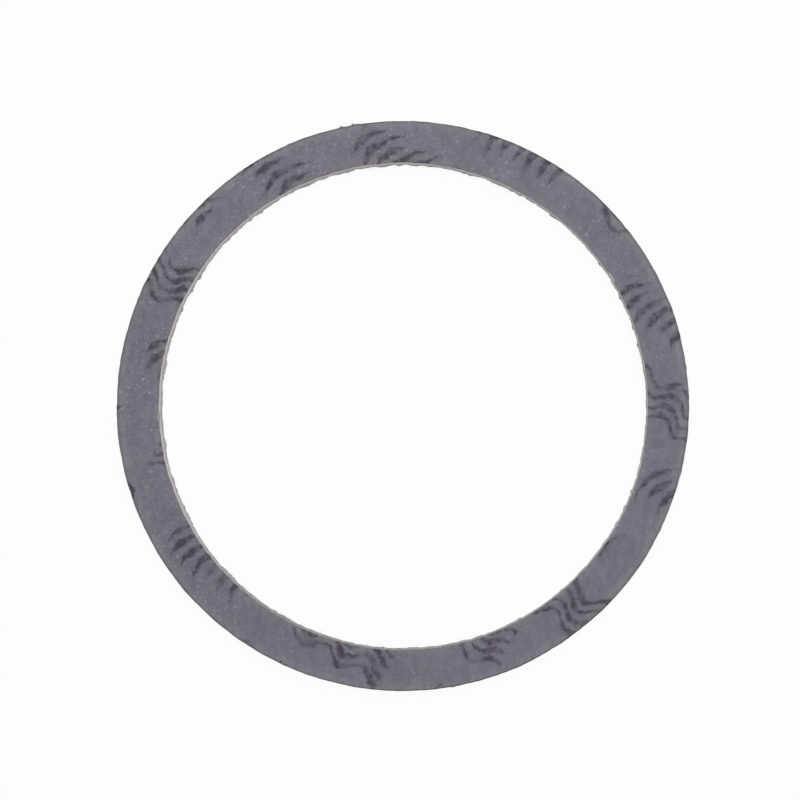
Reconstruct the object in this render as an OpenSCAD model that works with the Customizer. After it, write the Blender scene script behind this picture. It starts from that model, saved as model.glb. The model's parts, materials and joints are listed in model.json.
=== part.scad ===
// Flat ring gasket for an exhaust port, punched from compressed fibre sheet.
// It lies on its lower face with the printed face up. Millimetres, +Z up,
// origin at the middle of the bore on the lower face.

/* [Ring] */
// Diameter of the cleanly punched bore wall
bore_d = 35.9; // [20:0.1:80]
// Width of the ring from the bore to the outside
ring_w = 3.05; // [1.5:0.05:10]
// Thickness of the fibre sheet
sheet_t = 1.5; // [1:0.1:3]

/* [Punched rims] */
// Radius that the punch rolls on the outer rim of the printed face
outer_roll = 0.12; // [0.05:0.01:0.3]
// Radius that the punch rolls on the bore rim of the printed face
bore_roll = 0.06; // [0.02:0.01:0.2]

/* [Torn lip] */
// Height of the zone at the foot of the bore wall where the plies tore
torn_h = 0.48; // [0.2:0.02:0.8]
// Number of plies that the torn zone shows as steps
torn_plies = 3; // [1:1:4]
// Reach of the longest shreds into the bore
torn_reach = 0.2; // [0.05:0.01:0.3]
// Length of one shred along the bore
shred_w = 0.45; // [0.3:0.05:1.5]
// Seed of the torn outline
torn_seed = 23; // [1:1:99]

/* [Hidden] */
bore_r = bore_d / 2;
outer_r = bore_r + ring_w;
ply_h = torn_h / torn_plies;
// Share of the reach that even the lowest spots of a ply keep
least_share = 0.15;
// Depth to which the plies run into the ring, so that they are one solid with it
ply_root = 0.3;
// Facets of each rolled rim, and of the ring itself
roll_steps = 6;
ring_fn = 180;
slate = [0.46, 0.45, 0.50];

// Points of an arc about a centre, from one angle to another
function arc(centre, r, from, to) =
    [for (i = [0 : roll_steps])
        let (a = from + (to - from) * i / roll_steps)
        centre + r * [cos(a), sin(a)]];

// Half section of the ring: square at the lower face, rolled at the printed one
function ring_section() = concat(
    [[bore_r, 0], [outer_r, 0]],
    arc([outer_r - outer_roll, sheet_t - outer_roll], outer_roll, 0, 90),
    arc([bore_r + bore_roll, sheet_t - bore_roll], bore_roll, 90, 180));

// Random shares round the bore, one for each shred, between 0 and 1
function shares(count, seed) = rands(0, 1, count, seed);

// A share smoothed with its neighbours, so that shreds come in clumps
function clump(s, i) =
    let (n = len(s))
    (s[(i + n - 2) % n] + s[(i + n - 1) % n] + s[i] + s[(i + 1) % n] + s[(i + 2) % n]) / 5;

// Torn outline of one ply: each point lies a clumped, ragged reach inside the bore
function torn_outline(reach, seed) =
    let (count = round(PI * bore_d / shred_w), s = shares(count, seed))
    [for (i = [0 : count - 1])
        let (a = 360 * i / count,
             share = least_share + (1 - least_share) * s[i] * clump(s, i))
        (bore_r - reach * share) * [cos(a), sin(a)]];

// The punched ring, turned about the bore's axis
module punched_ring() {
    rotate_extrude($fn = ring_fn) polygon(ring_section());
}

// One torn ply: a thin ring, rooted in the wall, with a ragged inner outline
module torn_ply(reach, seed) {
    linear_extrude(height = ply_h)
        difference() {
            circle(r = bore_r + ply_root, $fn = ring_fn);
            polygon(torn_outline(reach, seed));
        }
}

// The torn plies, longest at the lower face and shorter above it
module torn_lip() {
    for (i = [0 : torn_plies - 1])
        translate([0, 0, i * ply_h])
            torn_ply(torn_reach * (torn_plies - i) / torn_plies, torn_seed + i);
}

module gasket() {
    color(slate) union() {
        punched_ring();
        torn_lip();
    }
}

gasket();
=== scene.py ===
import json
import math
import random

import bpy
import numpy as np
from mathutils import Euler, Matrix, Vector, noise


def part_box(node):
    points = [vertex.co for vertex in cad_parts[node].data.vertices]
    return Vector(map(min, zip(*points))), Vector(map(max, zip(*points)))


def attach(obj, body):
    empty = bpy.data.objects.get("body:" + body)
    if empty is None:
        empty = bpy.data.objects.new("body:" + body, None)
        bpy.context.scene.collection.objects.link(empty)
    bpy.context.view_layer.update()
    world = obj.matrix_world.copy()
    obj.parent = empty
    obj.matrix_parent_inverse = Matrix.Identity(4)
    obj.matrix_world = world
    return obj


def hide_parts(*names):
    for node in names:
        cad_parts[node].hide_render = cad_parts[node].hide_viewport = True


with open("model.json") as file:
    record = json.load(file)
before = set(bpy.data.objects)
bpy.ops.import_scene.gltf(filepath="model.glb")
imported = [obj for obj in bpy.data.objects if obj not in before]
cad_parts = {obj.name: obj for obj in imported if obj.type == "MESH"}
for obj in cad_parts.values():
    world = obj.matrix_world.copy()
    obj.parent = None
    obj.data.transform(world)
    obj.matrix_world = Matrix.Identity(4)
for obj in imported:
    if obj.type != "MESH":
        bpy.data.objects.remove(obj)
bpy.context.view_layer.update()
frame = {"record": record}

MM = 0.001
UP = Vector((0, 0, 1))
FULL_TURN = 2 * math.pi


def wall_of(name):
    """Radius, foot and top of a punched wall, as the part's mount states them."""
    mount = next(m for m in frame["record"]["mounts"] if m["name"] == name)
    middle = mount["pos_m"][2]
    half = mount["dims"]["length_mm"] * MM / 2
    return mount["dims"]["r_mm"] * MM, middle - half, middle + half


# Sizes of the part, in metres as the frame gives them
SHEET_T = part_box("gasket")[1].z
BORE_R, TORN_H, BORE_TOP = wall_of("bore")
OUTER_R, _, RIM_TOP = wall_of("outer_rim")
RING_W = OUTER_R - BORE_R
MID_R = (BORE_R + OUTER_R) / 2
OUTER_ROLL = SHEET_T - RIM_TOP
BORE_ROLL = SHEET_T - BORE_TOP

# How finely the ring's section and its turn are divided
TURN_STEPS = 1440
SECTORS = 12
OUTER_ROLL_STEPS = 5
BORE_ROLL_STEPS = 3
FACE_CUTS = 6
UNDER_CUTS = 4
RIM_CUTS = 12
BORE_CUTS = 33

# Corners nearer than this are joined where two sectors meet
WELD = 0.002 * MM
# Edges that turn by less than this are shaded smooth
SMOOTH_BELOW = math.radians(50)

# Corners within the first radius are on the bore's wall, beyond the second on the outer wall, and within
# the third they give way with a chip
BORE_WALL = BORE_R + BORE_ROLL / 3
OUTER_WALL = OUTER_R - OUTER_ROLL / 3
CHIP_WALL = BORE_R + BORE_ROLL * 1.1

# The bore was punched slightly off the outer rim's middle, and the limp ring lies a hair out of round
BORE_SHIFT = Vector((0.056, -0.034, 0)) * MM
OVAL = 0.0022

# Every kind of ripple and wander has a number, and the step from one number to the next keeps them unlike
TEAR_LINE = 1
PLY_CLUMPS = 2
PLY_SHREDS = 3
PLY_HAIRS = 4
DRAW_MARKS = 5
RIM_SHREDS = 6
FACE_WAVES = 7
RIM_LINE = 8
BORE_LINE = 9
PLY_FLAPS = 10
BUSY_STRETCHES = 11
NUMBER_STEP = 17.3
# What the noise is multiplied by, so that a ripple swings between about -1 and 1
RIPPLE_GAIN = 1.6

# How far the line of each punched wall wanders, and its lumps: the longest of them, how many lengths they
# have, how many times shorter each length is than the one before, and how much weaker
RIM_WANDER = 0.023 * MM
BORE_WANDER = 0.024 * MM
WANDER_GRAIN = 14 * MM
WANDER_LENGTHS = 6
WANDER_HALVING = 2.0
WANDER_FADE = 0.0

# Burrs at the top of the outer wall: place round the ring in degrees, then rise and half width in mm
RIM_BURRS = (
    (102.2, 0.18, 0.11),
    (99.85, 0.17, 0.08),
    (99.15, 0.06, 0.2),
    (113.25, 0.07, 0.2),
    (-79.75, 0.07, 0.16),
    (7.75, 0.06, 0.2),
)
# The height at which they stand, and how far they spread up and down from it
BURR_HEIGHT = 1.15 * MM
BURR_SPREAD = 0.25 * MM

# Chips in the bore's edge: place round the ring in degrees, then half the length, half the width and how
# far the edge gives way, in mm, and the colour of the frayed core
CHIPS = (
    (182.2, 0.4, 0.14, 0.08, (0.315, 0.300, 0.300, 1)),
    (31.6, 0.36, 0.15, 0.06, (0.520, 0.500, 0.530, 1)),
)
# The edge gives way from this height up, drops by this share of its way outwards, and comes back to its
# line over this share of the half length
CHIP_FOOT = 1.1 * MM
CHIP_SLOPE = 0.75
CHIP_ENDS = 1 / 3
# How far down the wall the frayed core shows, its raggedness and its lumps to a millimetre, and where it
# ends and within what it is whole, in half sizes of the chip from its middle
CHIP_DROP = 0.95 * MM
CHIP_RAGGED = 1.6
CHIP_GRAIN = 6.0
CHIP_END = 2.1
CHIP_WHOLE = 1.4

# The torn plies' reach into the bore, and the share of it that each ply has, from the lower face up
PLY_REACH = 0.15 * MM
PLY_SHARES = (1.0, 0.85, 0.6, 0.3)
# The share of a ply's height below the step to the next, and how many clumps apart two outlines lie
PLY_UPRIGHT = 0.55
PLY_UNLIKE = 3.1
# The torn zone is taller on one side of the bore, and its upper line is uneven
TALLEST_AT = math.radians(90)
TALLER_BY = 0.2
TORN_H_SPREAD = 0.35

# The tearing is roughest at the left of the bore and slightest at the lower right
ROUGHEST_AT = math.radians(150)
LEAST_ROUGH = 0.6

# What the tearing leaves: clumps, shreds, hairs and flaps, with their lengths along the bore and their
# shares of a ply's reach
CLUMP = 0.75 * MM
SHRED = 0.4 * MM
HAIR = 0.1 * MM
FLAP = 0.6 * MM
CLUMP_SHARE = 0.27
SHRED_SHARE = 0.27
HAIR_SHARE = 0.06
FLAP_SHARE = 1.2
FLAP_START = 0.3
# The middle, the least and the most that a ply reaches, as shares of its reach
REACH_MIDDLE = 0.39
REACH_LEAST = 0.04
REACH_MOST = 1.4
# Some long stretches of the bore are torn more than others
STRETCH = 2.2 * MM
BUSY_MIDDLE = 0.95
BUSY_SWING = 0.6

# Where the tearing of each wall ends and the height over which it fades, as shares of the torn height
BORE_TEAR_END = 1.12
BORE_TEAR_FADE = 0.24
RIM_TEAR_END = 0.95
RIM_TEAR_FADE = 0.5

# Draw marks of the clean walls: their depth, and how far apart they are
DRAW_MARK = 0.006 * MM
DRAW_GRAIN = 0.16 * MM
# The slight tearing of the outer wall's foot: its depth, the middle of it, and how torn it is at most
RIM_TEAR = 0.022 * MM
RIM_TEAR_MIDDLE = 0.4
RIM_TEAR_SHARE = 0.7
# Waves of the printed face: their height, their length, and the distance from its edges where they fade
FACE_WAVE = 0.007 * MM
FACE_WAVE_GRAIN = 2.4 * MM
FACE_WAVE_FADE = RING_W / 4


def clamp(value, low=0.0, high=1.0):
    """The value, or the nearer end of the range where it lies outside."""
    return min(max(value, low), high)


def pick(piece, kind, wanted):
    """Selects, in edit mode, the piece's corners or edges whose middle is wanted, and nothing else."""
    bpy.ops.object.mode_set(mode="EDIT")
    bpy.ops.mesh.select_mode(type=kind)
    bpy.ops.mesh.select_all(action="DESELECT")
    bpy.ops.object.mode_set(mode="OBJECT")
    corners = piece.data.vertices
    if kind == "VERT":
        for corner in corners:
            corner.select = wanted(corner.co)
    else:
        for edge in piece.data.edges:
            edge.select = wanted((corners[edge.vertices[0]].co + corners[edge.vertices[1]].co) / 2)
    bpy.ops.object.mode_set(mode="EDIT")


def alone(piece):
    """Makes a piece the only one selected, and the active one."""
    if bpy.context.object and bpy.context.object.mode != "OBJECT":
        bpy.ops.object.mode_set(mode="OBJECT")
    bpy.ops.object.select_all(action="DESELECT")
    piece.select_set(True)
    bpy.context.view_layer.objects.active = piece


def section_outline():
    """The ring's cut section at +X: a rectangle whose two upper corners the punch has rolled."""
    bpy.ops.object.select_all(action="DESELECT")
    upright = (math.pi / 2, 0, 0)
    bpy.ops.mesh.primitive_plane_add(size=1, location=(MID_R, 0, SHEET_T / 2), rotation=upright)
    outline = bpy.context.object
    outline.scale = (RING_W, SHEET_T, 1)
    bpy.ops.object.transform_apply(location=True, rotation=True, scale=True)
    clear = BORE_ROLL / 2
    pick(outline, "VERT", lambda at: at.z > SHEET_T - clear and at.x > MID_R)
    bpy.ops.mesh.bevel(offset=OUTER_ROLL, offset_pct=0, segments=OUTER_ROLL_STEPS, affect="VERTICES")
    pick(outline, "VERT", lambda at: at.z > SHEET_T - clear and at.x < BORE_R + clear)
    bpy.ops.mesh.bevel(offset=BORE_ROLL, offset_pct=0, segments=BORE_ROLL_STEPS, affect="VERTICES")
    bpy.ops.mesh.select_all(action="SELECT")
    bpy.ops.mesh.delete(type="ONLY_FACE")
    divide_sides(outline, clear)
    return outline


def divide_sides(outline, clear):
    """Divides the four straight sides of the section, found by places that keep clear of its corners."""
    hair = clear / 100
    sides = (
        (FACE_CUTS, lambda at: at.z > SHEET_T - hair and BORE_R + clear < at.x < OUTER_R - clear),
        (UNDER_CUTS, lambda at: at.z < clear and BORE_R + clear < at.x < OUTER_R - clear),
        (RIM_CUTS, lambda at: at.x > OUTER_R - hair and at.z < RIM_TOP),
        (BORE_CUTS, lambda at: at.x < BORE_R + hair and at.z < BORE_TOP),
    )
    for cuts, on_side in sides:
        pick(outline, "EDGE", on_side)
        bpy.ops.mesh.subdivide(number_cuts=cuts)
    bpy.ops.object.mode_set(mode="OBJECT")


def turn_into_ring(outline):
    """Turns the section into one sector, copies that round the bore's axis and closes the seams."""
    alone(outline)
    bpy.ops.object.mode_set(mode="EDIT")
    bpy.ops.mesh.select_all(action="SELECT")
    sector = FULL_TURN / SECTORS
    bpy.ops.mesh.spin(steps=TURN_STEPS // SECTORS, angle=sector, center=(0, 0, 0), axis=(0, 0, 1))
    bpy.ops.mesh.select_all(action="SELECT")
    rest = FULL_TURN - sector
    bpy.ops.mesh.spin(steps=SECTORS - 1, dupli=True, angle=rest, center=(0, 0, 0), axis=(0, 0, 1))
    bpy.ops.mesh.select_all(action="SELECT")
    bpy.ops.mesh.remove_doubles(threshold=WELD)
    bpy.ops.mesh.normals_make_consistent(inside=False)
    bpy.ops.object.mode_set(mode="OBJECT")


def round_bore(angle, height, grain, number):
    """A place on a cylinder of the bore's size, in lumps of the grain, on a level of the number's own."""
    place = Vector((math.cos(angle), math.sin(angle), 0)) * (BORE_R / grain)
    place.z = height / grain + NUMBER_STEP * number
    return place


def ripple(angle, height, grain, number):
    """Smooth lumps of the given grain, mostly between -1 and 1, that run round the bore without a seam."""
    return RIPPLE_GAIN * noise.noise(round_bore(angle, height, grain, number))


def wander(angle, number):
    """How a punched wall strays from a true circle, mostly between -1 and 1, with peaks of up to 2."""
    place = round_bore(angle, 0, WANDER_GRAIN, number)
    return noise.fractal(place, WANDER_FADE, WANDER_HALVING, WANDER_LENGTHS)


def turn_from(degrees, angle):
    """The shorter way round the ring from a place given in degrees to an angle."""
    return (angle - math.radians(degrees) + math.pi) % FULL_TURN - math.pi


def burr(angle, height):
    """How proud of the outer wall a burr stands at a place."""
    proud = 0.0
    for degrees, rise, half_width in RIM_BURRS:
        along = turn_from(degrees, angle) * OUTER_R / (half_width * MM)
        up = (height - BURR_HEIGHT) / BURR_SPREAD
        proud += rise * MM * math.exp(-along * along - up * up)
    return proud


def chip_give(angle, height):
    """How far a chip lets the bore's edge give way, outwards and down."""
    give = 0.0
    for degrees, half_length, _, depth, _ in CHIPS:
        along = abs(turn_from(degrees, angle)) * BORE_R / (half_length * MM)
        give += depth * MM * clamp((1 - along) / CHIP_ENDS)
    return give * max((height - CHIP_FOOT) / (SHEET_T - CHIP_FOOT), 0)


def torn_height(angle):
    """Height at which the clean shear gives way to the torn plies."""
    side = TALLER_BY * math.cos(angle - TALLEST_AT)
    return TORN_H * (1 + side + TORN_H_SPREAD * ripple(angle, 0, CLUMP, TEAR_LINE))


def roughness_at(angle):
    """Share of the full raggedness that the tearing has at a place round the bore."""
    return LEAST_ROUGH + (1 - LEAST_ROUGH) * (1 + math.cos(angle - ROUGHEST_AT)) / 2


def ply_reach(angle, ply):
    """How far one torn ply stands into the bore."""
    level = ply * PLY_UNLIKE * CLUMP
    ragged = (
        CLUMP_SHARE * ripple(angle, level, CLUMP, PLY_CLUMPS)
        + SHRED_SHARE * ripple(angle, level, SHRED, PLY_SHREDS)
        + HAIR_SHARE * ripple(angle, level, HAIR, PLY_HAIRS)
        + FLAP_SHARE * max(ripple(angle, level, FLAP, PLY_FLAPS) - FLAP_START, 0)
    )
    busy = BUSY_MIDDLE + BUSY_SWING * ripple(angle, 0, STRETCH, BUSY_STRETCHES)
    share = REACH_MIDDLE + ragged * busy * roughness_at(angle)
    return PLY_REACH * PLY_SHARES[ply] * clamp(share, REACH_LEAST, REACH_MOST)


def torn_reach(angle, height):
    """Reach of the torn zone at a height: each ply has its own outline, with a steep step between two."""
    up = height / torn_height(angle) * len(PLY_SHARES)
    if up >= len(PLY_SHARES):
        return 0.0
    ply = int(up)
    here = ply_reach(angle, ply)
    above = ply_reach(angle, ply + 1) if ply + 1 < len(PLY_SHARES) else 0.0
    step = clamp((up - ply - PLY_UPRIGHT) / (1 - PLY_UPRIGHT))
    return here + (above - here) * step * step


def as_it_lies(at):
    """A place on the true ring, moved by the wander of the walls, the shift of the bore and the oval."""
    radius = math.hypot(at.x, at.y)
    angle = math.atan2(at.y, at.x)
    inward = clamp((OUTER_R - radius) / RING_W)
    rim_stray = RIM_WANDER * wander(angle, RIM_LINE)
    bore_stray = BORE_WANDER * wander(angle, BORE_LINE)
    stray = rim_stray * (1 - inward) + bore_stray * inward
    moved = at + Vector((at.x, at.y, 0)) * (stray / radius) + BORE_SHIFT * inward
    moved.x *= 1 + OVAL
    moved.y *= 1 - OVAL
    return moved


def bore_marks(angle, height, mark):
    """The share of tearing at a place on the bore's wall, and how far the place moves outwards."""
    share = clamp((BORE_TEAR_END - height / torn_height(angle)) / BORE_TEAR_FADE)
    return share, mark * (1 - share) - torn_reach(angle, height)


def rim_marks(angle, height, mark):
    """The same for a place on the outer wall, which has burrs and a slightly torn foot."""
    share = RIM_TEAR_SHARE * clamp((RIM_TEAR_END - height / torn_height(-angle)) / RIM_TEAR_FADE)
    shreds = RIM_TEAR * (RIM_TEAR_MIDDLE + ripple(angle, height, SHRED, RIM_SHREDS))
    return share, mark + burr(angle, height) + share * shreds


def punch_marks(ring):
    """Gives the walls their tearing and draw marks and the printed face its slight waves.

    The share of tearing at each corner is kept as an attribute, which the core's finish reads.
    """
    torn = ring.data.attributes.new("torn", "FLOAT", "POINT")
    for corner in ring.data.vertices:
        at = corner.co
        radius = math.hypot(at.x, at.y)
        angle = math.atan2(at.y, at.x)
        out = Vector((at.x, at.y, 0)) / radius
        mark = DRAW_MARK * ripple(angle, 0, DRAW_GRAIN, DRAW_MARKS)
        share = move = 0.0
        if radius < BORE_WALL:
            share, move = bore_marks(angle, at.z, mark)
        elif radius > OUTER_WALL:
            share, move = rim_marks(angle, at.z, mark)
        elif at.z > SHEET_T / 2:
            inward = min(radius - BORE_R, OUTER_R - radius) / FACE_WAVE_FADE
            at.z += FACE_WAVE * min(inward, 1) * ripple(angle, radius, FACE_WAVE_GRAIN, FACE_WAVES)
        at += out * move
        if radius < CHIP_WALL:
            at += (out - UP * CHIP_SLOPE) * chip_give(angle, at.z)
        corner.co = as_it_lies(at)
        torn.data[corner.index].value = share


def gasket_ring():
    """The whole ring, unrolled onto its map while it is still true, then marked as the punch left it."""
    ring = section_outline()
    turn_into_ring(ring)
    ring.name = ring.data.name = "gasket_sheet"
    lay_strips(ring)
    assign_sides(ring)
    punch_marks(ring)
    alone(ring)
    bpy.ops.object.shade_smooth_by_angle(angle=SMOOTH_BELOW)
    return ring


# A face whose normal points up or down by more than the first is flat. The printed skin wraps over both
# rolled corners, and covers what points up by more than the second.
FLAT = 0.7
SKIN_UP = 0.2

# Strips of the unrolled ring on its map: each side and the share of the map's height that it takes
STRIPS = (("face", 0.40), ("under", 0.24), ("bore", 0.21), ("rim", 0.15))
STRIP_PARTS = 4
STRIP_MARGIN = 0.002


def rows_of(items, name, width):
    """What every item of a mesh has under a name, as a table with so many numbers to a row."""
    values = np.empty(len(items) * width)
    items.foreach_get(name, values)
    return values.reshape(-1, width)


def numbers_of(items, name):
    """The whole number that every item of a mesh has under a name."""
    values = np.empty(len(items), int)
    items.foreach_get(name, values)
    return values


def turn_of(places):
    """How far round the ring each place lies, from 0 to 1."""
    return np.arctan2(places[:, 1], places[:, 0]) / FULL_TURN % 1


def away_from_axis(places):
    """How far each place lies from the bore's axis."""
    return np.hypot(places[:, 0], places[:, 1])


def lay_strips(ring):
    """Unrolls each side of the ring onto the map in four strips, each for a quarter of a turn."""
    mesh = ring.data
    sizes = numbers_of(mesh.polygons, "loop_total")
    face = np.repeat(np.arange(len(sizes)), sizes)
    up = rows_of(mesh.polygons, "normal", 3)[face, 2]
    centre = rows_of(mesh.polygons, "center", 3)[face]
    at = rows_of(mesh.vertices, "co", 3)[numbers_of(mesh.loops, "vertex_index")]
    turn = turn_of(at)
    turn += np.round(turn_of(centre) - turn)
    part = np.floor(turn_of(centre) * STRIP_PARTS)
    along = turn * STRIP_PARTS - part
    across_face = (away_from_axis(at) - BORE_R) / RING_W
    up_wall = at[:, 2] / SHEET_T
    on_wall = abs(up) <= FLAT
    in_bore = away_from_axis(centre) < MID_R
    is_side = {
        "face": up > FLAT,
        "under": up < -FLAT,
        "bore": on_wall & in_bore,
        "rim": on_wall & ~in_bore,
    }
    u = STRIP_MARGIN + along * (1 - 2 * STRIP_MARGIN)
    v = np.zeros(len(face))
    foot = 0.0
    for side, height in STRIPS:
        across = across_face if side in ("face", "under") else up_wall
        strip = height / STRIP_PARTS
        rows = foot + part * strip + STRIP_MARGIN + across * (strip - 2 * STRIP_MARGIN)
        v = np.where(is_side[side], rows, v)
        foot += height
    layer = mesh.uv_layers.new(name="OFBake")
    layer.uv.foreach_set("vector", np.stack([u, v], 1).astype(np.float32).ravel())


# The order in which the ring carries its finishes
SKIN, CORE, BACK = 0, 1, 2


def assign_sides(ring):
    """The printed skin wraps over both rolled corners; the walls show the core; the back is bare skin."""
    for face in ring.data.polygons:
        if face.normal.z > SKIN_UP:
            face.material_index = SKIN
        elif face.normal.z < -FLAT:
            face.material_index = BACK
        else:
            face.material_index = CORE


# The range that cloudy noise seldom leaves, and its middle
NOISE_RANGE = (0.3, 0.7)
NOISE_MIDDLE = 0.5

# How far flecks are shaken, with how many lumps to a millimetre, and the range over which they fade
FLECK_SHAKE = (0.12, 5.0)
FLECK_FADE = (-0.1, 0.06)

# Places of a mix node's sockets for the share, for the two colours and for the mixed colour
MIX_SHARE, MIX_FIRST, MIX_SECOND = 0, 6, 7
MIXED = 2


class Recipe:
    """The nodes of a new material or world. Most calls add nodes and hand back what these give."""

    def __init__(self, owner):
        self.owner = owner
        owner.use_nodes = True
        self.nodes = owner.node_tree.nodes
        self.links = owner.node_tree.links
        self.nodes.clear()

    def add(self, kind, settings=(), inputs=()):
        """A new node of a kind, with its settings and with values or links for its inputs."""
        node = self.nodes.new(kind)
        for name, value in dict(settings).items():
            setattr(node, name, value)
        for name, value in dict(inputs).items():
            self.feed(node.inputs[name], value)
        return node

    def feed(self, socket, value):
        """Links another node's output to a socket, or sets the socket's own value."""
        if isinstance(value, bpy.types.NodeSocket):
            self.links.new(value, socket)
        else:
            socket.default_value = value

    def calc(self, operation, *values):
        """Arithmetic on numbers."""
        inputs = dict(enumerate(values))
        return self.add("ShaderNodeMath", {"operation": operation}, inputs).outputs[0]

    def product(self, first, *others):
        """All the values multiplied."""
        for other in others:
            first = self.calc("MULTIPLY", first, other)
        return first

    def vector(self, operation, *values):
        """Arithmetic on places: both outputs of its node, the place and the number."""
        inputs = dict(enumerate(values))
        return self.add("ShaderNodeVectorMath", {"operation": operation}, inputs).outputs

    def millimetres(self):
        """The place on the part, in millimetres."""
        place = self.add("ShaderNodeTexCoord").outputs["Object"]
        return self.scaled(place, (1 / MM, 1 / MM, 1 / MM))

    def parts(self, place):
        """The X, Y and Z of a place."""
        return self.add("ShaderNodeSeparateXYZ", inputs={"Vector": place}).outputs

    def scaled(self, place, scale, turn=0.0):
        """A place stretched along X, Y and Z, and turned about Z."""
        inputs = {"Vector": place, "Scale": scale, "Rotation": (0, 0, turn)}
        return self.add("ShaderNodeMapping", inputs=inputs).outputs[0]

    def turned(self, place, turn):
        """A place turned about Z."""
        return self.scaled(place, (1, 1, 1), turn)

    def grain(self, place, scale, detail=2.0, roughness=0.5):
        """Cloudy noise from 0 to 1, with about scale lumps to a millimetre."""
        inputs = {"Vector": place, "Scale": scale, "Detail": detail, "Roughness": roughness}
        return self.add("ShaderNodeTexNoise", inputs=inputs).outputs[0]

    def clouds(self, place, scale, detail, darkest, palest, roughness=0.5):
        """Cloudy tones from the darkest to the palest."""
        return self.stretch(self.grain(place, scale, detail, roughness), *NOISE_RANGE, darkest, palest)

    def patches(self, place, scale, detail, low, high, least):
        """Cloudy patches: the least where the noise is at low, and 1 where it is at high."""
        return self.stretch(self.grain(place, scale, detail), low, high, least, 1.0)

    def ragged(self, place, amount, scale, detail=2.0):
        """A cloudy push to and fro, by up to half the amount."""
        return self.product(self.calc("SUBTRACT", self.grain(place, scale, detail), NOISE_MIDDLE), amount)

    def shaken(self, place, amount, scale):
        """A place that is pushed about, so that what is drawn there looks uneven."""
        push = self.add("ShaderNodeTexNoise", inputs={"Vector": place, "Scale": scale, "Detail": 2.0})
        return self.vector("MULTIPLY_ADD", push.outputs["Color"], (amount, amount, 0.0), place)[0]

    def flecks(self, place, scale, low, high):
        """Soft spots over the plane, about scale to a millimetre, each of its own size and strength."""
        inputs = {"Vector": self.shaken(place, *FLECK_SHAKE), "Scale": scale}
        node = self.add("ShaderNodeTexVoronoi", {"voronoi_dimensions": "2D"}, inputs)
        chance = self.add("ShaderNodeSeparateColor", inputs={"Color": node.outputs["Color"]})
        size = self.calc("MULTIPLY_ADD", chance.outputs["Red"], high - low, low)
        inside = self.stretch(self.calc("SUBTRACT", size, node.outputs["Distance"]), *FLECK_FADE)
        return self.product(inside, chance.outputs["Green"])

    def stretch(self, value, low, high, to_low=0.0, to_high=1.0):
        """Spreads low to high smoothly over another range, and stops at its ends."""
        inputs = {
            "Value": value,
            "From Min": low,
            "From Max": high,
            "To Min": to_low,
            "To Max": to_high,
        }
        return self.add("ShaderNodeMapRange", {"interpolation_type": "SMOOTHSTEP"}, inputs).outputs[0]

    def mix(self, share, first, second):
        """The first colour, with a share of the second."""
        inputs = {MIX_SHARE: share, MIX_FIRST: first, MIX_SECOND: second}
        return self.add("ShaderNodeMix", {"data_type": "RGBA"}, inputs).outputs[MIXED]

    def shade(self, colour, amount):
        """A colour made lighter or darker by a factor."""
        inputs = {0: colour, "Scale": amount}
        return self.add("ShaderNodeVectorMath", {"operation": "SCALE"}, inputs).outputs[0]

    def bump(self, height, distance, strength, over=None):
        """A surface's normal with small lumps, over another normal where one is given."""
        inputs = {"Height": height, "Distance": distance, "Strength": strength}
        if over is not None:
            inputs["Normal"] = over
        return self.add("ShaderNodeBump", inputs=inputs).outputs[0]

    def finish(self, colour, roughness, normal, gloss):
        """The finished material, with this colour, roughness, normal and gloss."""
        inputs = {
            "Base Color": colour,
            "Roughness": roughness,
            "Normal": normal,
            "Specular IOR Level": gloss,
        }
        shader = self.add("ShaderNodeBsdfPrincipled", inputs=inputs)
        output = self.add("ShaderNodeOutputMaterial")
        self.links.new(shader.outputs[0], output.inputs["Surface"])
        return self.owner


def new_finish(name):
    """The recipe of a new material, which is still empty."""
    return Recipe(bpy.data.materials.new(name))


# Colours of the skin: the slate and its greyer clouds, what wear leaves at the outer edge and at the
# bore's, the pale flecks, the dark specks and the ink
SLATE = (0.140, 0.132, 0.174, 1)
SLATE_GREY = (0.147, 0.141, 0.167, 1)
WORN = (0.173, 0.169, 0.187, 1)
RUBBED = (0.152, 0.148, 0.162, 1)
FLECK = (0.250, 0.242, 0.286, 1)
SPECK = (0.100, 0.094, 0.120, 1)
INK = (0.035, 0.031, 0.045, 1)

# The print: groups of wavy stripes and of leaves, in rows that slant across the sheet, in millimetres
ROW_SLANT = math.radians(31)
ROW_PITCH = 5.4
ROW_START = 3.1
ROW_STEP = 4.3
GROUP_PITCH = 11.2
GROUP_LENGTH = 7.35
WAVE_PITCH = 3.1
WAVE_SWING = 0.45
STRIPES_APART = 0.85
STRIPES_REACH = 1.5
STRIPE_HALF = 0.155
STRIPE_SWELL = 0.085
SWELL_RATE = 2.3
LEAF_PITCH = 1.05
LEAF_HALF_H = 1.45
LEAF_SPREAD = 0.4
LEAF_RATE = 2.2
LEAF_HALF_W = 0.29
LEAF_SLANT = 0.4
LEAF_CURVE = 0.22

# How far the print is shaken and how ragged its strokes are, with their lumps to a millimetre and detail,
# and the range over which a stroke fades at its edges
PRINT_SHAKE = (0.6, 1.2)
STROKE_RAGGED = (0.34, 5.0, 3.0)
STROKE_FADE = (0.14, -0.12)
# Where ink is thin: lumps to a millimetre, detail, the range of the noise and the least share of the ink
THIN_PLACES = (0.55, 2.0, 0.32, 0.5, 0.6)
BLOTCHES = (1.9, 3.0, 0.34, 0.6, 0.45)
# The smudge round the strokes: its share of the ink, how far out it lies, how uneven it is, with so many
# lumps to a millimetre, and the range over which it fades
SMUDGE = 0.22
SMUDGE_REACH = 0.45
SMUDGE_UNEVEN = 0.9
SMUDGE_GRAIN = 1.3
SMUDGE_FADE = (0.25, -0.15)


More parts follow.
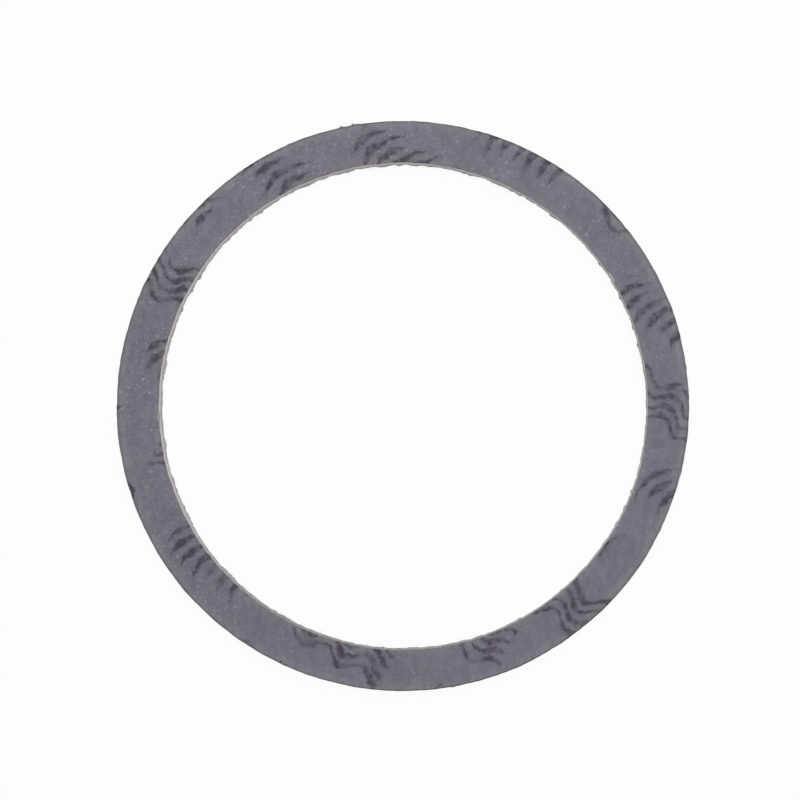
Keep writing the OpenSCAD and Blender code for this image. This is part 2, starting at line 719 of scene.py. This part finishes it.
def wavy_stripes(r, along, height):
    """Distance to wavy stripes, side by side, that swell here and there, less than 0 inside a stripe."""
    turns = FULL_TURN / WAVE_PITCH
    phase = r.product(along, turns)
    middle = r.calc("SUBTRACT", height, r.product(r.calc("SINE", phase), WAVE_SWING))
    in_stripe = r.calc("SUBTRACT", r.calc("FLOORED_MODULO", middle, STRIPES_APART), STRIPES_APART / 2)
    beside = r.calc("ABSOLUTE", in_stripe)
    slope = r.product(r.calc("COSINE", phase), WAVE_SWING * turns)
    steepness = r.calc("SQRT", r.calc("MULTIPLY_ADD", slope, slope, 1.0))
    swell = r.calc("SINE", r.calc("MULTIPLY_ADD", along, SWELL_RATE, height))
    half = r.calc("MULTIPLY_ADD", swell, STRIPE_SWELL, STRIPE_HALF)
    stripe = r.calc("SUBTRACT", r.calc("DIVIDE", beside, steepness), half)
    return r.calc("MAXIMUM", stripe, r.calc("SUBTRACT", r.calc("ABSOLUTE", middle), STRIPES_REACH))


def leaves(r, along, height):
    """Distance to a row of slanted, curved leaves of uneven length, less than 0 inside a leaf."""
    lean = r.product(height, r.calc("MULTIPLY_ADD", height, LEAF_CURVE, LEAF_SLANT))
    leaning = r.calc("SUBTRACT", along, lean)
    across = r.calc("SUBTRACT", r.calc("FLOORED_MODULO", leaning, LEAF_PITCH), LEAF_PITCH / 2)
    number = r.calc("FLOOR", r.calc("DIVIDE", leaning, LEAF_PITCH))
    spread = r.calc("SINE", r.product(number, LEAF_RATE))
    half = r.calc("MULTIPLY_ADD", spread, LEAF_SPREAD, LEAF_HALF_H)
    up = r.calc("DIVIDE", height, half)
    width = r.product(r.calc("SUBTRACT", 1.0, r.product(up, up)), LEAF_HALF_W)
    return r.calc("SUBTRACT", r.calc("ABSOLUTE", across), width)


def print_outline(r, mm):
    """Distance to the print's strokes, less than 0 inside one: stripes and leaves take turns by group."""
    place = r.parts(r.turned(r.shaken(mm, *PRINT_SHAKE), ROW_SLANT))
    up = r.calc("ADD", place["Y"], ROW_START)
    row = r.calc("FLOOR", r.calc("DIVIDE", up, ROW_PITCH))
    height = r.calc("SUBTRACT", r.calc("FLOORED_MODULO", up, ROW_PITCH), ROW_PITCH / 2)
    along = r.calc("ADD", place["X"], r.product(row, ROW_STEP))
    group = r.calc("FLOOR", r.calc("DIVIDE", along, GROUP_PITCH))
    odd = r.calc("FLOORED_MODULO", r.calc("ADD", row, group), 2.0)
    stripes_edge = r.product(wavy_stripes(r, along, height), r.calc("SUBTRACT", 1.0, odd))
    leaves_edge = r.product(leaves(r, along, height), odd)
    past_group = r.calc("SUBTRACT", r.calc("FLOORED_MODULO", along, GROUP_PITCH), GROUP_LENGTH)
    return r.calc("MAXIMUM", r.calc("ADD", stripes_edge, leaves_edge), past_group)


def ink_cover(r, mm):
    """How much ink lies at a place, from 0 to 1: soft, blotchy strokes that fade in and out."""
    edge = print_outline(r, mm)
    uneven = r.calc("ADD", edge, r.ragged(mm, *STROKE_RAGGED))
    ink = r.product(r.patches(mm, *THIN_PLACES), r.patches(mm, *BLOTCHES))
    stroke = r.product(r.stretch(uneven, *STROKE_FADE), ink)
    beyond = r.calc("SUBTRACT", edge, SMUDGE_REACH)
    smudge = r.calc("MULTIPLY_ADD", r.grain(mm, SMUDGE_GRAIN), SMUDGE_UNEVEN, beyond)
    return r.calc("MAXIMUM", stroke, r.product(r.stretch(smudge, *SMUDGE_FADE), SMUDGE))


# Tones of the sheet: lumps to a millimetre, detail, the darkest, the palest and the noise's roughness
SHEET_CLOUDS = (0.3, 2.0, 0.95, 1.05)
STREAKS = (2.2, 3.0, 0.9, 1.1)
FINE_GRAIN = (6.0, 2.0, 0.88, 1.12, 0.6)
# How the streaks and the grain are drawn out across the sheet
STREAKS_DRAWN = (1.0, 0.55, 1.0)
GRAIN_DRAWN = (1.15, 0.8, 1.0)
# The greyer clouds: lumps to a millimetre, and the range of the noise over which they come in
GREY_GRAIN = 0.9
GREY_RANGE = (0.5, 0.7)

# Wear of the two edges: up to where it is whole and where it ends, in mm from the edge, and how ragged
# that line is, with so many lumps to a millimetre
BORE_WEAR = (0.05, 0.65)
OUTER_WEAR = (0.1, 0.85)
WEAR_RAGGED = (0.5, 1.6)
# Where the bore's worn edge grows paler to the right: the places in mm, and the shares of the paler
PALER_WEAR = (2.0, 18.0, 0.0, 0.8)

# Flecks and specks: how many to a millimetre, and the least and the greatest size. The small flecks and
# the specks are weaker, and the specks' pattern is turned, in radians.
LARGE_FLECKS = (1.9, 0.06, 0.22)
SMALL_FLECKS = (3.6, 0.1, 0.3)
SMALL_FLECK_SHARE = 0.55
SPECKS = (2.3, 0.02, 0.2)
SPECK_TURN = 0.7
SPECK_SHARE = 0.5
# Flecks are fewest at the lower right and most at the upper left, at these distances in mm with these
# shares: the flecks are the sheet's own, and their crowding at the upper left is painted glints. They lie
# in
# crowds: lumps to a millimetre, detail, the range of the noise and the least share.
FLECK_GLINT_SIDES = (-24.0, 24.0, 0.4, 1.0)
FLECK_CROWDS = (0.55, 1.0, 0.36, 0.6, 0.35)

# The painted shade of the rolled rim, a thin dark line: where it lies, in mm from the outer edge, and its
# tone at the sheet's sides and ends
RIM_SHADE_LINE = (0.1, 0.22)
RIM_SHADE_SIDES = 0.84
RIM_SHADE_ENDS = 0.6


def from_axis(r, mm):
    """Distance from the bore's axis, in millimetres."""
    return r.vector("LENGTH", r.scaled(mm, (1, 1, 0)))["Value"]


def inside_rim(r, away):
    """Distance inwards from the outer edge, in millimetres, of a place that lies so far from the axis."""
    return r.calc("SUBTRACT", OUTER_R / MM, away)


def edge_worn(r, mm, colour, away, outer):
    """A colour with the wear of the bore's edge and of the outer edge over it."""
    ragged = r.ragged(mm, *WEAR_RAGGED)
    inner = r.calc("SUBTRACT", away, BORE_R / MM)
    bore_wear = r.stretch(r.calc("ADD", inner, ragged), *BORE_WEAR, 1.0, 0.0)
    outer_wear = r.stretch(r.calc("ADD", outer, ragged), *OUTER_WEAR, 1.0, 0.0)
    rubbed = r.mix(r.stretch(r.parts(mm)["X"], *PALER_WEAR), RUBBED, WORN)
    return r.mix(outer_wear, r.mix(bore_wear, colour, rubbed), WORN)


def flecked(r, mm, colour):
    """A colour with crowds of pale flecks, more of them at the upper left as painted glints, and dark
    specks, over it.
    """
    place = r.parts(mm)
    leftward = r.calc("SUBTRACT", place["Y"], place["X"])
    # More flecks to the upper left: painted glints over the sheet's own flecks
    crowd_and_glint = r.product(r.stretch(leftward, *FLECK_GLINT_SIDES), r.patches(mm, *FLECK_CROWDS))
    small = r.product(r.flecks(mm, *SMALL_FLECKS), SMALL_FLECK_SHARE)
    pale = r.calc("MAXIMUM", r.flecks(mm, *LARGE_FLECKS), small)
    dark = r.product(r.flecks(r.turned(mm, SPECK_TURN), *SPECKS), SPECK_SHARE)
    return r.mix(dark, r.mix(r.product(pale, crowd_and_glint), colour, FLECK), SPECK)


def sheet_colour(r, mm):
    """The bare skin of the sheet, with its fine grain and the distance from the outer edge.

    It is slate with clouds, a streaky mottle, a fine grain, worn edges, flecks and specks.
    """
    clouds = r.clouds(mm, *SHEET_CLOUDS)
    streaks = r.clouds(r.scaled(mm, STREAKS_DRAWN), *STREAKS)
    fine = r.clouds(r.scaled(mm, GRAIN_DRAWN), *FINE_GRAIN)
    away = from_axis(r, mm)
    outer = inside_rim(r, away)
    colour = r.mix(r.stretch(r.grain(mm, GREY_GRAIN), *GREY_RANGE), SLATE, SLATE_GREY)
    colour = edge_worn(r, mm, colour, away, outer)
    colour = r.shade(colour, r.product(clouds, streaks, fine))
    return flecked(r, mm, colour), fine, outer


def rim_painted_shade(r, mm, outer):
    """The painted shade on the rolled rim's thin line, darker at the ends of the sheet, in Y, than at its
    sides.
    """
    up = r.calc("DIVIDE", r.parts(mm)["Y"], OUTER_R / MM)
    deepest = r.calc("MULTIPLY_ADD", r.product(up, up), RIM_SHADE_ENDS - RIM_SHADE_SIDES, RIM_SHADE_SIDES)
    return r.stretch(outer, *RIM_SHADE_LINE, deepest, 1.0)


def chipped(r, mm, colour):
    """A colour with the frayed core over it where the bore's edge is chipped."""
    centred = r.vector("SUBTRACT", mm, tuple(BORE_SHIFT / MM))[0]
    ragged = r.product(r.grain(mm, CHIP_GRAIN), CHIP_RAGGED)
    for degrees, half_length, half_width, _, frayed in CHIPS:
        place = r.parts(r.turned(centred, -math.radians(degrees)))
        across = r.calc("DIVIDE", r.calc("SUBTRACT", place["X"], BORE_R / MM), half_width)
        along = r.calc("DIVIDE", place["Y"], half_length)
        down = r.calc("DIVIDE", r.calc("SUBTRACT", SHEET_T / MM, place["Z"]), CHIP_DROP / MM)
        square = r.calc("MULTIPLY_ADD", across, across, r.product(along, along))
        away = r.calc("SQRT", r.calc("MULTIPLY_ADD", down, down, square))
        cover = r.stretch(r.calc("ADD", away, ragged), CHIP_END, CHIP_WHOLE)
        colour = r.mix(cover, colour, frayed)
    return colour


# The two skins' lumps: how many to a millimetre, detail and roughness, then their depth and strength
SKIN_LUMPS = (3.2, 4.0, 0.6)
PRINTED_BUMP = (0.012 * MM, 0.6)
BARE_BUMP = (0.014 * MM, 0.7)
# How dull the skins are where their fine grain is dark and where it is pale, and their gloss
GRAIN_TONES = (0.9, 1.1)
PRINTED_DULL = (0.56, 0.68)
BARE_DULL = (0.6, 0.74)
PRINTED_GLOSS = 0.32
BARE_GLOSS = 0.3


def printed_skin():
    """The upper skin, with its print, the chips in the bore's edge and painted shade along the rolled rim.
    """
    r = new_finish("printed_skin")
    mm = r.millimetres()
    colour, fine, outer = sheet_colour(r, mm)
    colour = r.mix(ink_cover(r, mm), colour, INK)
    # The rolled rim's thin dark line is painted shade
    colour = r.shade(chipped(r, mm, colour), rim_painted_shade(r, mm, outer))
    normal = r.bump(r.grain(mm, *SKIN_LUMPS), *PRINTED_BUMP)
    return r.finish(colour, r.stretch(fine, *GRAIN_TONES, *PRINTED_DULL), normal, PRINTED_GLOSS)


def bare_skin():
    """The lower skin: the same sheet turned over, without print."""
    r = new_finish("bare_skin")
    mm = r.millimetres()
    colour, fine, _ = sheet_colour(r, r.scaled(mm, (1, -1, 1)))
    normal = r.bump(r.grain(mm, *SKIN_LUMPS), *BARE_BUMP)
    return r.finish(colour, r.stretch(fine, *GRAIN_TONES, *BARE_DULL), normal, BARE_GLOSS)


# Colours of the core, pale and dark, where it is cut clean and where it is torn, the torn core's darker
# colours partly its binder and partly painted shade among the fibres, and of the skin that shows at the
# foot of the walls
CLEAN_CORE = (0.68, 0.655, 0.665, 1)
CLEAN_SHADE = (0.49, 0.47, 0.49, 1)
TORN_CORE = (0.54, 0.52, 0.53, 1)
TORN_SHADE = (0.30, 0.285, 0.30, 1)
LOWER_SKIN = (0.31, 0.30, 0.33, 1)

# Noise of the walls, as lumps to a millimetre, detail and roughness. The draw marks are drawn out upright.
# The sheet's layers are drawn out level, and have their darkest and palest tone before the roughness.
UPRIGHT = (1, 1, 0.1)
DRAWN_MARKS = (6.5, 3.0, 0.6)
LEVEL = (0.18, 0.18, 1)
LAYERS = (6.0, 3.0, 0.9, 1.08, 0.6)
FUZZ = (9.0, 4.0, 0.65)
FUZZ_RANGE = (0.35, 0.66)
# How ragged the line of tearing is, and the shares of tearing between which the torn core comes in
TORN_RAGGED = 0.9
TORN_RANGE = (0.25, 0.75)

# The outer wall's darker tone, and the distances from the outer edge, in mm, that set the walls apart
OUTER_WALL_TONE = 0.82
WALLS_APART = (1.0, 2.0)

# The side of the bore that is darkened with painted shade, seen from the middle, how dark it is, and where
# the shade comes in: from how far towards that side, and between which heights in mm
SHADED_SIDE = math.radians(268)
SHADED_SIDE_TONE = 0.45
SHADED_SIDE_RANGE = (0.25, 0.95)
SHADED_SIDE_HEIGHTS = (-0.05, 0.8)
# Opposite, the torn core and the skin at the foot show less, down to this share, which paints less shade
# there, and the wall is a little darker with painted shade, down to this tone
LESS_SHADE_SHARE = 0.35
LESS_SHADE_SIDES = (-0.95, -0.1)
FAR_SHADE_TONE = 0.93
FAR_SHADE_SIDES = (-0.95, -0.55)
# To the right, between these places in mm, the tearing shows less and the clean wall is a bit darker
CALM_SIDE = 0.6
CALM_TONE = 0.94
CALM_PLACES = (4.0, 15.0)

# Skin at the foot of a wall, with its share, and at its top: heights in mm, made uneven by the fuzz
FOOT_HEIGHTS = (0.09, 0.17)
FOOT_SHARE = 0.5
TOP_HEIGHTS = (1.46, 1.51)
LINE_UNEVEN = 0.1

# Depth and strength of the walls' marks and fuzz, how dull the walls are, clean and torn, and their gloss
DRAWN_BUMP = (0.02 * MM, 0.5)
FUZZ_BUMP = (0.03 * MM, 0.6)
WALL_DULL = (0.62, 0.9)
WALL_GLOSS = 0.25


def towards_shaded_side(r, mm):
    """How far a place in the bore lies towards its shaded side, from 1 there to -1 opposite."""
    side = (math.cos(SHADED_SIDE) * MM / BORE_R, math.sin(SHADED_SIDE) * MM / BORE_R, 0)
    return r.vector("DOT_PRODUCT", mm, side)["Value"]


def clean_core(r, mm, drawn, rightward):
    """The wall that the punch drew smooth: pale, with upright marks and the sheet's layers."""
    colour = r.mix(r.stretch(drawn, *NOISE_RANGE), CLEAN_SHADE, CLEAN_CORE)
    colour = r.shade(colour, r.clouds(r.scaled(mm, LEVEL), *LAYERS))
    return r.shade(colour, r.stretch(rightward, *CALM_PLACES, 1.0, CALM_TONE))


def torn_part(r, fuzz):
    """How torn the wall is at a place, from 0 to 1, with a ragged line between torn and clean."""
    torn = r.add("ShaderNodeAttribute", {"attribute_name": "torn"}).outputs["Fac"]
    ragged = r.product(r.calc("SUBTRACT", fuzz, NOISE_MIDDLE), TORN_RAGGED)
    return r.stretch(r.calc("ADD", torn, ragged), *TORN_RANGE)


def painted_wall_shade(r, side, height, in_bore):
    """The painted shade of the bore's wall: darker on its shaded side, and a little darker on the side
    opposite.
    """
    side_shade = r.product(r.stretch(side, *SHADED_SIDE_RANGE), r.stretch(height, *SHADED_SIDE_HEIGHTS), in_bore)
    return r.product(r.stretch(side_shade, 0, 1, 1.0, SHADED_SIDE_TONE), r.stretch(side, *FAR_SHADE_SIDES, FAR_SHADE_TONE, 1.0))


def cut_core():
    """The punched walls: pale and drawn smooth above, darker and fibrous where the plies tore, with
    painted shade.
    """
    r = new_finish("cut_core")
    mm = r.millimetres()
    place = r.parts(mm)
    side = towards_shaded_side(r, mm)
    outer = inside_rim(r, from_axis(r, mm))
    drawn = r.grain(r.scaled(mm, UPRIGHT), *DRAWN_MARKS)
    fuzz = r.grain(mm, *FUZZ)
    torn = torn_part(r, fuzz)
    # The torn core and the skin at the foot show in full on the shaded side and less opposite: painted
    # shade
    torn_shade_share = r.stretch(side, *LESS_SHADE_SIDES, LESS_SHADE_SHARE, 1.0)
    calm = r.stretch(place["X"], *CALM_PLACES, 1.0, CALM_SIDE)
    # The dark of the torn core is partly its darker binder and partly painted shade among the fibres
    rough = r.mix(r.stretch(fuzz, *FUZZ_RANGE), TORN_SHADE, TORN_CORE)
    colour = r.mix(r.product(torn, torn_shade_share, calm), clean_core(r, mm, drawn, place["X"]), rough)
    colour = r.shade(colour, r.stretch(outer, *WALLS_APART, OUTER_WALL_TONE, 1.0))
    uneven = r.calc("MULTIPLY_ADD", fuzz, LINE_UNEVEN, place["Z"])
    foot = r.product(r.stretch(uneven, *FOOT_HEIGHTS, FOOT_SHARE, 0.0), torn_shade_share)
    colour = r.mix(foot, colour, LOWER_SKIN)
    # Painted shade on the bore's wall, darker on its shaded side and a little on the side opposite
    colour = r.shade(colour, painted_wall_shade(r, side, place["Z"], r.stretch(outer, *WALLS_APART)))
    colour = r.mix(r.stretch(uneven, *TOP_HEIGHTS), colour, SLATE)
    normal = r.bump(fuzz, *FUZZ_BUMP, r.bump(drawn, *DRAWN_BUMP))
    return r.finish(chipped(r, mm, colour), r.stretch(torn, 0, 1, *WALL_DULL), normal, WALL_GLOSS)


# The loose fibres' colours: lumps to a millimetre, and the range of the noise from the dark to the pale
FIBRE_DARK = (0.265, 0.26, 0.27, 1)
FIBRE_PALE = (0.55, 0.54, 0.53, 1)
FIBRE_GRAIN = 3.0
FIBRE_RANGE = (0.35, 0.65)
# Their own small lumps, with their depth and strength, and how dull and glossy they are
FIBRE_LUMPS = 25.0
FIBRE_BUMP = (0.002 * MM, 0.5)
FIBRE_DULL = 0.7
FIBRE_GLOSS = 0.3


def fibre_finish():
    """Single fibres: grey, some dark and some pale."""
    r = new_finish("loose_fibre")
    mm = r.millimetres()
    colour = r.mix(r.stretch(r.grain(mm, FIBRE_GRAIN), *FIBRE_RANGE), FIBRE_DARK, FIBRE_PALE)
    return r.finish(colour, FIBRE_DULL, r.bump(r.grain(mm, FIBRE_LUMPS), *FIBRE_BUMP), FIBRE_GLOSS)


# The blank fibres' sides and cuts, the radius of their tip, how far a full bend carries the tip and sways
# the middle, and their bends. They are a millimetre wide at the root, and their copies are made slim.
FIBRE_SIDES = 5
FIBRE_CUTS = 4
FIBRE_TIP = 0.16 * MM
FIBRE_CURL = 20 * MM
FIBRE_SWAY = 6 * MM
FIBRE_BENDS = (0.0, 0.35, 0.8, -0.6)

# How many fibres there are, the seed of their draws, how low one may lie and how deep it is rooted
FIBRE_COUNT = 520
FIBRE_SEED = 11
FIBRE_FLOOR = 0.004 * MM
FIBRE_ROOT = 0.02 * MM
# Their heights as shares of the torn height, their lengths and widths in mm, and how strongly they keep
# to the rough places
FIBRE_HEIGHTS = (0.05, 0.95)
FIBRE_LENGTHS = (0.1, 0.3)
FIBRE_WIDTHS = (0.010, 0.022)
FIBRE_CROWDING = 3
# The spread of their turn from straight inwards, and their droop with its spread, in radians
FIBRE_FAN = 0.75
FIBRE_DROOP = (0.15, 0.3)


def fibre_blank(bend):
    """One loose fibre, a millimetre long and upright on its root, that tapers and curls by its bend."""
    bpy.ops.object.select_all(action="DESELECT")
    bpy.ops.mesh.primitive_cone_add(
        vertices=FIBRE_SIDES, radius1=MM / 2, radius2=FIBRE_TIP, depth=MM, location=(0, 0, MM / 2)
    )
    blank = bpy.context.object
    bpy.ops.object.transform_apply(location=True)
    # The middles of the upright edges are halfway up, and those of the others are at the two ends
    pick(blank, "EDGE", lambda at: MM / 4 < at.z < MM * 3 / 4)
    bpy.ops.mesh.subdivide(number_cuts=FIBRE_CUTS)
    bpy.ops.object.mode_set(mode="OBJECT")
    for corner in blank.data.vertices:
        up = corner.co.z / MM
        corner.co.x += bend * up * up * FIBRE_CURL
        corner.co.y += bend * math.sin(up * math.pi) * FIBRE_SWAY
    return blank


def rest_on_floor(fibre, blank):
    """Lifts each cross-section of a fibre that would sink below the lower face, so that it lies there."""
    sections = {}
    for corner, straight in zip(fibre.vertices, blank.vertices):
        sections.setdefault(round(straight.co.z / MM, 3), []).append(corner)
    for section in sections.values():
        lift = FIBRE_FLOOR - min(corner.co.z for corner in section)
        if lift > 0:
            for corner in section:
                corner.co.z += lift


def scatter(name, blanks, count, place_one):
    """Copies the blanks in turn to chosen places and joins the copies into one piece."""
    copies = []
    for number in range(count):
        blank = blanks[number % len(blanks)].data
        copy = bpy.data.objects.new(name, blank.copy())
        copy.data.transform(place_one())
        rest_on_floor(copy.data, blank)
        bpy.context.collection.objects.link(copy)
        copies.append(copy)
    bpy.ops.object.select_all(action="DESELECT")
    for copy in copies:
        copy.select_set(True)
    bpy.context.view_layer.objects.active = copies[0]
    bpy.ops.object.join()
    piece = bpy.context.object
    piece.name = piece.data.name = name
    bpy.ops.object.shade_smooth()
    return piece


def lip_fibres():
    """Single fibres that stand out of the torn plies into the bore."""
    chance = random.Random(FIBRE_SEED)
    blanks = [fibre_blank(bend) for bend in FIBRE_BENDS]

    def place():
        angle = chance.uniform(0, FULL_TURN)
        while chance.random() > roughness_at(angle) ** FIBRE_CROWDING:
            angle = chance.uniform(0, FULL_TURN)
        height = chance.uniform(*FIBRE_HEIGHTS) * torn_height(angle)
        radius = BORE_R - torn_reach(angle, height) + FIBRE_ROOT
        length = chance.uniform(*FIBRE_LENGTHS)
        width = chance.uniform(*FIBRE_WIDTHS)
        root = as_it_lies(Vector((radius * math.cos(angle), radius * math.sin(angle), height)))
        inward = math.pi + angle + chance.gauss(0, FIBRE_FAN)
        tilt = Euler((0, math.pi / 2 + chance.gauss(*FIBRE_DROOP), inward))
        size = Matrix.Diagonal((width, width, length, 1))
        return Matrix.Translation(root) @ tilt.to_matrix().to_4x4() @ size

    piece = scatter("lip_fibres", blanks, FIBRE_COUNT, place)
    for blank in blanks:
        bpy.data.objects.remove(blank)
    return piece


WHITE = (1, 1, 1, 1)
PAPER = (0.9, 0.9, 0.9, 1)

# The floor's side, and how far it lies below the ring
FLOOR_SIDE = 1.6
FLOOR_DROP = 0.01 * MM
# How bright the floor is where it is seen, the share of that near the ring, where it leaves room for the
# shadow, and the distances in mm from the middle between which it grows to the whole
FLOOR_GLOW = 0.985
NEAR_GLOW_SHARE = 0.96
GLOW_PLACES = (25, 70)
# Strength of the white surroundings, where they light the ring and where they are seen
WORLD_LIGHT = 0.483
WORLD_SEEN = 0.985


def seen_ray(r):
    """1 for rays of the camera, of gloss and through glass, and 0 for the rays that light things."""
    path = r.add("ShaderNodeLightPath")
    seen = r.calc("MAXIMUM", path.outputs["Is Camera Ray"], path.outputs["Is Glossy Ray"])
    return r.calc("MAXIMUM", seen, path.outputs["Is Transmission Ray"])


def white_floor():
    """A pale floor that looks white to the camera and still holds a faint shadow."""
    bpy.ops.object.select_all(action="DESELECT")
    bpy.ops.mesh.primitive_plane_add(size=FLOOR_SIDE, location=(0, 0, -FLOOR_DROP))
    floor = bpy.context.object
    floor.name = "floor"
    r = new_finish("white_floor")
    paper = r.add("ShaderNodeBsdfDiffuse", inputs={"Color": PAPER})
    glow = r.add("ShaderNodeEmission", inputs={"Color": WHITE, "Strength": FLOOR_GLOW})
    away = r.vector("LENGTH", r.millimetres())["Value"]
    share = r.product(seen_ray(r), r.stretch(away, *GLOW_PLACES, NEAR_GLOW_SHARE, 1.0))
    mixed = r.add("ShaderNodeMixShader", inputs={0: share, 1: paper.outputs[0], 2: glow.outputs[0]})
    output = r.add("ShaderNodeOutputMaterial")
    r.links.new(mixed.outputs[0], output.inputs["Surface"])
    floor.data.materials.append(r.owner)


def studio_world():
    """White surroundings, which light the ring at a plain level."""
    world = bpy.data.worlds.new("studio")
    bpy.context.scene.world = world
    r = Recipe(world)
    strength = r.calc("MULTIPLY_ADD", seen_ray(r), WORLD_SEEN - WORLD_LIGHT, WORLD_LIGHT)
    background = r.add("ShaderNodeBackground", inputs={"Color": WHITE, "Strength": strength})
    output = r.add("ShaderNodeOutputWorld")
    r.links.new(background.outputs[0], output.inputs["Surface"])


# The lamp's place and side in metres, and its power in watts
LAMP_PLACE = (0.04, 0.09, 0.26)
LAMP_SIDE = 0.17
LAMP_POWER = 0.467


def key_lamp():
    """A square lamp above and behind the ring, which it faces."""
    bpy.ops.object.light_add(type="AREA", location=LAMP_PLACE)
    lamp = bpy.context.object
    lamp.name = "key_lamp"
    lamp.data.size = LAMP_SIDE
    lamp.data.energy = LAMP_POWER
    lamp.rotation_euler = (-Vector(LAMP_PLACE)).to_track_quat("-Z", "Y").to_euler()


# The photograph in its pixels: its side, the ring's width and the ring's middle
PHOTO_SIDE = 800
RING_WIDE_PX = 571.93
RING_CENTRE_PX = (401.42, 405.65)
# The camera's distance, its lean in X and Y, its sensor's width in mm, and how near and far it sees
CAMERA_AWAY = 0.2
CAMERA_LEAN = (math.radians(2.6), math.radians(-0.8))
SENSOR = 36.0
NEAREST = 0.01
FARTHEST = 10


def photo_camera():
    """Looks almost straight down, from a little to the right of and in front of the ring."""
    pixel = 2 * OUTER_R / RING_WIDE_PX
    half = PHOTO_SIDE / 2
    aim = Vector(((half - RING_CENTRE_PX[0]) * pixel, (RING_CENTRE_PX[1] - half) * pixel, SHEET_T))
    back = Vector((math.tan(CAMERA_LEAN[0]), math.tan(CAMERA_LEAN[1]), 1)).normalized()
    right = Vector((0, 1, 0)).cross(back).normalized()
    up = back.cross(right)
    turn = Matrix((right, up, back)).transposed()
    bpy.ops.object.camera_add(location=aim + back * CAMERA_AWAY, rotation=turn.to_euler())
    camera = bpy.context.object
    camera.data.sensor_width = SENSOR
    camera.data.lens = SENSOR * CAMERA_AWAY / (PHOTO_SIDE * pixel)
    camera.data.clip_start = NEAREST
    camera.data.clip_end = FARTHEST
    bpy.context.scene.camera = camera


ring = gasket_ring()
for finish in (printed_skin(), cut_core(), bare_skin()):
    ring.data.materials.append(finish)
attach(ring, "root")
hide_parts("gasket")

fibres = lip_fibres()
fibres.data.materials.append(fibre_finish())
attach(fibres, "root")

white_floor()
studio_world()
key_lamp()
photo_camera()

scene = bpy.context.scene
scene.view_settings.view_transform = "Standard"
